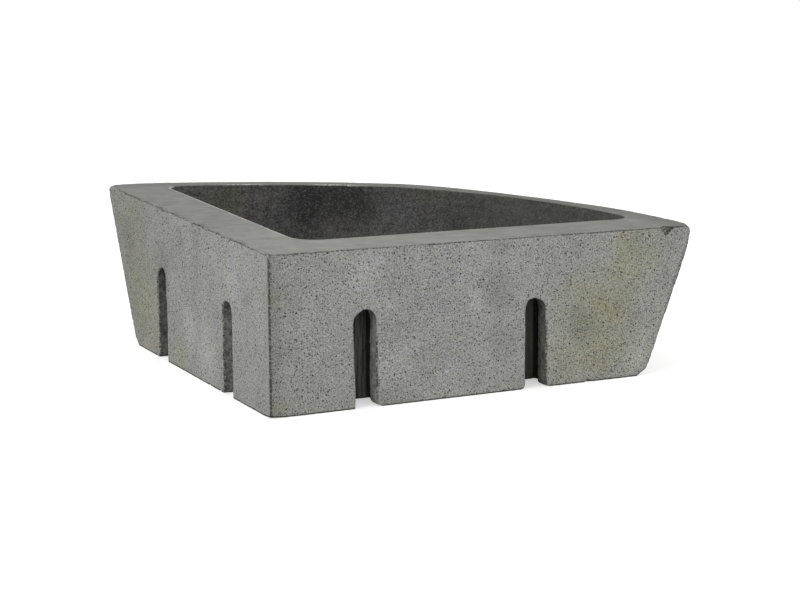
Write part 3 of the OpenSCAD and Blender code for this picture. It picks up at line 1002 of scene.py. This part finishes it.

# %% [markdown]
# A slot's cheeks are bare stone, with painted shade towards the arch, and each slot has its own
# tint. The pocket behind the lip is painted dark as shade, darker towards its top in most slots and
# darkest in a band beside the cheek on the right wall, with upright saw marks.

# %% Slots
left_wall = at.x.rise(20, 18)
far_left = left_wall * at.y.rise(200, 201)
far_right = at.x.rise(250, 251)
uneven = at.mottle * 0.5 + at.grain * 0.5
cheek = mix(flow, tone(104, 104, 103), tone(182, 182, 179), uneven.rise(0.36, 0.62))
cheek = tinted(flow, cheek, 0.4, at.into_wall.rise(9, 1) * 0.3 + left_wall * 0.33)
cheek = tinted(flow, cheek, (0.62, 0.62, 0.58), far_left)
cheek = tinted(flow, cheek, (0.53, 0.53, 0.48), far_right)
# Painted shade on the cheeks towards the arch.
cheek = tinted(flow, cheek, (0.2, 0.2, 0.19), at.z.rise(75, 88) * 0.55)
cheek = mix(flow, cheek, tone(60, 60, 58), at.pits * 0.7)
marks = stretched(flow, place, 2.4, (1.0, 1.0, 0.06)).rise(0.38, 0.6)
# The pocket's back is painted darker than the face, as shade behind the lip; the upright lines are
# saw marks.
back = mix(flow, tone(72, 72, 69), tone(142, 142, 138), marks * 0.7 + at.grain * 0.3)
# Painted shade: a dark band beside the cheek of the near slot on the right wall.
back = mix(flow, back, tone(54, 54, 52), at.x.band(112, 113.5, 199, 200) * 0.85)
back = mix(flow, back, tone(104, 106, 92), far_right * 0.75)
# Painted shade: a dark band beside the cheek of the far slot on the right wall.
back = mix(flow, back, tone(42, 43, 36), at.x.rise(291, 292.5) * 0.9)
# Painted shade towards the top of the pocket.
back = tinted(flow, back, 0.4, at.z.rise(40, 84) * (1 - far_right) * 0.6)
slot = mix(flow, cheek, back, at.into_wall.rise(16.5, 17.5))
count_nodes("slots")

# %% [markdown]
# The finishes are put together with their masks. Then the edges get their own look. On the outer
# arrises grains have broken out, which leaves a thin dark and ragged line, partly the broken grains
# and partly painted shade along the arris. It is darker right by the large chip, and it runs down
# the right edge of the curved front.

# %% Outer edges
BY_CHIP = ((430, 0, 147, 8),)
color = mix(flow, face, slot, at.slots)
color = mix(flow, color, bowl, at.bowl)
color = mix(flow, color, rim, at.honed)
ragged = noise(flow, place, 2.2, 2.0, 0.6).rise(0.36, 0.56)
inner_from = RIM_INNER / MM
outer = at.into_wall.rise(inner_from, inner_from - 2).most(at.inside_front.rise(10, 8))
corner = at.x.rise(1.4, 0.7) * at.y.rise(5.0, 3.5)
left_tip = at.x.rise(10, 8) * at.y.rise(412, 430) * at.below_rim.rise(12, 8)
line = at.arris.rise(0.45, 0.95) * ragged * outer * (1 - corner) * (1 - left_tip)
# The dark ragged line: broken grains and painted shade along the outer arrises.
color = mix(flow, color, tone(64, 64, 60), line * 0.85)
by_chip = stain(flow, place, BY_CHIP) * at.arris.rise(0.2, 0.6)
color = mix(flow, color, tone(46, 46, 43), by_chip * (ragged * 0.5 + 0.5))
front_edge = at.inside_front.rise(2.6, 1.2) * at.y.rise(3, 1.5) * ragged
color = mix(flow, color, tone(58, 58, 55), front_edge * at.z.rise(30, 90) * 0.45)
count_nodes("outer edges")

# %% [markdown]
# The back corner is rubbed pale. Beside it, on the right wall, runs a row of pits, with short
# teeth that reach further along the wall.

# %% Back corner
below_edge = at.below_rim.rise(0, 6)
on_wall = at.y.rise(3.2, 2.6)
row = at.x.band(0, 0.4, 1.4, 2.2) * on_wall
teeth = at.x.band(0, 0.4, 2.6, 4.4) * on_wall
teeth = teeth * stretched(flow, place, 1.5, (0.4, 0.4, 1.0)).rise(0.5, 0.6)
color = mix(flow, color, tone(150, 151, 145), corner * (1 - at.honed) * 0.7)
color = mix(flow, color, tone(58, 58, 54), row * (ragged * 0.6 + 0.3) * below_edge)
color = mix(flow, color, tone(58, 58, 54), teeth * below_edge * 0.6)
count_nodes("back corner")

# %% [markdown]
# The lowest edge of the block and the down-facing rounded feet of the slots are painted dark as
# shade. The line follows the foot of the back corner, which was pushed up a little. What faces
# down is found with the surface's own direction in the object's frame.

# %% Foot of the block
lifted_foot = (at.x + at.y).rise(16, 0) * 1.2
by_side = at.into_wall.least(at.inside_front).rise(4.0, 1.5).most(at.slots)
low_edge_shade = (at.z - lifted_foot).rise(1.9, 0.9) * by_side
facing = flow.node("ShaderNodeTexCoord", None, None, "Normal")
down = flow.node("ShaderNodeSeparateXYZ", None, {"Vector": facing}, "Z").rise(-0.4, -0.7)
under_foot_shade = down * at.slots * at.z.rise(7, 5)
# Painted shade along the lowest edge and under the slots' feet.
color = mix(flow, color, tone(40, 40, 38), low_edge_shade * 0.8)
color = mix(flow, color, tone(30, 30, 28), under_foot_shade * 0.85)
count_nodes("foot")

# %% [markdown]
# The rim's inner arris gets a painted highlight, a pale line, most of all along the left wall and
# at two places of the front.

# %% Inner edge of the rim
HIGHLIGHT_SPOTS = ((136, 398, 150, 34), (226, 356, 150, 40))
highlight_breaks = noise(flow, place, 9, 3.0, 0.6).rise(0.4, 0.62) * 0.5 + 0.5
front_highlight = stain(flow, place, HIGHLIGHT_SPOTS) * ragged * at.inside_front.rise(40, 34)
by_left = at.x.rise(64, 60) * 0.8 + front_highlight * 1.5
inner_arris = at.arris.rise(0.25, 0.7) * (1 - outer)
# Painted highlight along the rim's inner arris.
color = mix(flow, color, tone(192, 193, 188), inner_arris * (by_left + 0.1) * highlight_breaks)
count_nodes("inner edge")

# %% [markdown]
# On the far jamb of each slot the saw broke grains out of the edge, which shows as a dark ragged
# line up to the start of the arch.

# %% Far jambs of the slots
FAR_JAMBS = {"right": (107.0, 286.0), "left": (115.2, 296.0)}


def jamb_lines(at):
    """The outer edge of each slot's far jamb, where the saw broke the grains out."""
    total = None
    for wall, edges_at in FAR_JAMBS.items():
        along, across = (at.x, at.y) if wall == "right" else (at.y, at.x)
        low_outer = across.rise(3.0, 1.6) * at.z.rise(70, 60)
        for edge_at in edges_at:
            line = along.band(edge_at - 1.6, edge_at - 0.6, edge_at + 0.9, edge_at + 1.8)
            line = line * low_outer
            total = line if total is None else total.most(line)
    return total


color = mix(flow, color, tone(48, 48, 46), jamb_lines(at) * ragged * 0.8)
count_nodes("far jambs")

# %% [markdown]
# Chips are dark, since the stone inside isn't bleached, and they also hold painted shade of the
# notch. The flank of the large chip that faces the back corner lies in shade, so it is painted the
# darkest. Its two planes are the ones that cut the chip, which puts the colour exactly where the
# notch is.

# %% Chips


def notch(flow, place, chip):
    """1 in a chip's notch, and 1 on the flank that faces the back corner alone."""
    arm = vector(flow, "SUBTRACT", (place, chip[2]))
    start_side, end_side = [vector(flow, "DOT_PRODUCT", (arm, across), "Value") / MM
                            for across in flanks(*chip)]
    inside = start_side.rise(-0.6, -0.1) * end_side.rise(-0.6, -0.1)
    return inside, inside * end_side.rise(0.9, 0.3)


chip, far_flank = notch(flow, place, CHIPS[0])
grit = noise(flow, place, 1.7, 2.0, 0.6).rise(0.42, 0.6)
in_chip = chip * (grit * 0.72 + 0.15).most(far_flank * (grit * 0.5 + 0.42))
# Fresh stone and painted shade in the chips.
color = mix(flow, color, tone(30, 30, 28), in_chip)
small_chips = at.broken * (1 - chip) * at.z.rise(60, 50)
color = mix(flow, color, tone(34, 34, 32), small_chips * 0.7)
count_nodes("chips")

# %% [markdown]
# The roughness and the bump follow the same masks: the rough face is dull and grainy, the rim is
# smooth, and the sealed bowl has a faint gloss. The worn block then takes the place of the CAD one
# and rides on its body.

# %% Stone
feed(color, stone_shader, "Base Color")
feed(0.95 - at.bowl * 0.4 - at.honed * 0.15, stone_shader, "Roughness")
stone_shader.inputs["Specular IOR Level"].default_value = 0.12
rough = (1 - at.honed * 0.9) * (1 - at.bowl * 0.75)
feed_bump((at.grain * 0.5 - at.pits * 0.8 + 0.8) * rough, stone_shader, 0.5, 0.8)
block.data.materials.clear()
block.data.materials.append(stone)
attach(block, "basin_body")
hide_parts("basin")
count_nodes("stone")

# %% [markdown]
# The waste's pieces keep their CAD shapes and get their own finishes: polished chrome, cast brass,
# steel, rubber and plastic. Each has a faint film or bloom, because nothing that is handled stays
# perfectly even.

# %% Finishes of the waste


def metal(name, color, rough, film_size):
    """A bare metal under a faint film, whose clouds are film_size millimetres across."""
    material, flow, shader = new_material(name)
    place = flow.node("ShaderNodeTexCoord", None, None, "Object")
    film = noise(flow, place, film_size, 3.0, 0.6)
    feed(mix(flow, [c * 0.9 for c in color[:3]] + [1.0], color, film), shader, "Base Color")
    feed(film * 0.12 + rough, shader, "Roughness")
    shader.inputs["Metallic"].default_value = 1.0
    return material


def soft(name, dark, light, rough):
    """Rubber or plastic with a faint bloom and a fine skin."""
    material, flow, shader = new_material(name)
    place = flow.node("ShaderNodeTexCoord", None, None, "Object")
    bloom = noise(flow, place, 4, 3.0, 0.6)
    feed(mix(flow, dark, light, bloom), shader, "Base Color")
    feed(bloom * 0.15 + rough, shader, "Roughness")
    feed_bump(noise(flow, place, 0.5), shader, 0.3, 0.1)
    return material


FINISHES = {
    "chrome": metal("chrome", tone(228, 230, 233), rough=0.08, film_size=12),
    "brass": metal("brass", tone(196, 160, 92), rough=0.25, film_size=3),
    "steel": metal("steel", tone(190, 192, 196), rough=0.3, film_size=1),
    "rubber": soft("rubber", tone(30, 30, 31), tone(46, 46, 46), rough=0.75),
    "plastic": soft("plastic", tone(222, 222, 218), tone(234, 234, 231), rough=0.45),
}
SLOT_OF = {row["node"]: row["material_slot"] for row in frame["record"]["subparts"]}
waste = {name: node for name, node in frame["nodes"].items() if name != "basin"}
for name, node in waste.items():
    node.data.materials.clear()
    node.data.materials.append(FINISHES[SLOT_OF[name]])
print("finished", len(waste), "pieces of the waste")

# %% [markdown]
# The studio is plain: a pale floor, an even white room and one large soft lamp. The camera sees
# the floor as white, with a soft shadow round the basin. That white is shown to the camera and to
# reflections alone, so it puts no more light on the stone.

# %% Floor
FLOOR_HALF = 3.0
FLOOR_COLOR = (0.8, 0.8, 0.8, 1)
FLOOR_GLOW = (0.5, 0.5, 0.5, 1)
BLACK = (0, 0, 0, 1)


def add_floor():
    """A square floor that looks white to the camera and still keeps the shadow."""
    mesh = bpy.data.meshes.new("floor")
    corners = [(x * FLOOR_HALF, y * FLOOR_HALF, 0) for x, y in ((-1, -1), (1, -1), (1, 1), (-1, 1))]
    mesh.from_pydata(corners, [], [(0, 1, 2, 3)])
    floor = bpy.data.objects.new("floor", mesh)
    bpy.context.scene.collection.objects.link(floor)
    material, flow, shader = new_material("floor")
    shader.inputs["Base Color"].default_value = FLOOR_COLOR
    shader.inputs["Roughness"].default_value = 1.0
    shader.inputs["Specular IOR Level"].default_value = 0.0
    camera_ray = flow.node("ShaderNodeLightPath", None, None, "Is Camera Ray")
    seen = camera_ray.most(camera_ray.other("Is Glossy Ray"))
    feed(mix(flow, BLACK, FLOOR_GLOW, seen), shader, "Emission Color")
    shader.inputs["Emission Strength"].default_value = 1.0
    mesh.materials.append(material)


add_floor()
print("studio floor is", 2 * FLOOR_HALF, "m wide")

# %% [markdown]
# The room lights the stone evenly from all sides, at the level where a colour renders about as it
# is written. Seen by the camera or in polished metal, it is pure white.

# %% Room
ROOM_LIGHT = 0.8
WHITE = (1, 1, 1, 1)


def add_room():
    """An even light from all sides, which looks white to the camera and in reflections."""
    world = bpy.data.worlds.new("room")
    bpy.context.scene.world = world
    world.use_nodes = True
    background = world.node_tree.nodes["Background"]
    background.inputs["Color"].default_value = WHITE
    flow = Flow(world.node_tree)
    camera_ray = flow.node("ShaderNodeLightPath", None, None, "Is Camera Ray")
    seen = camera_ray.most(camera_ray.other("Is Glossy Ray"))
    seen = seen.most(camera_ray.other("Is Transmission Ray"))
    feed(seen * (1 - ROOM_LIGHT) + ROOM_LIGHT, background, "Strength")


add_room()
print("the room's light has strength", ROOM_LIGHT)

# %% [markdown]
# One large round lamp on the left gives the soft shadow. Its size keeps the shadow's edge soft, and
# a sun lamp would throw a hard one.

# %% Lamp
LAMP_PLACE = (-2.2, -1.0, 2.0)
LAMP_TARGET = Vector((0, 0, 0.08))
LAMP_SIZE = 1.6
LAMP_POWER = 18


def add_lamp():
    """A large round lamp that points at the basin."""
    data = bpy.data.lights.new("key", "AREA")
    data.shape = "DISK"
    data.size = LAMP_SIZE
    data.energy = LAMP_POWER
    lamp = bpy.data.objects.new("key", data)
    lamp.location = LAMP_PLACE
    lamp.rotation_mode = "QUATERNION"
    lamp.rotation_quaternion = (LAMP_TARGET - Vector(LAMP_PLACE)).to_track_quat("-Z", "Y")
    bpy.context.scene.collection.objects.link(lamp)


add_lamp()
bpy.context.scene.view_settings.view_transform = "Standard"
print("the lamp has", LAMP_POWER, "W")
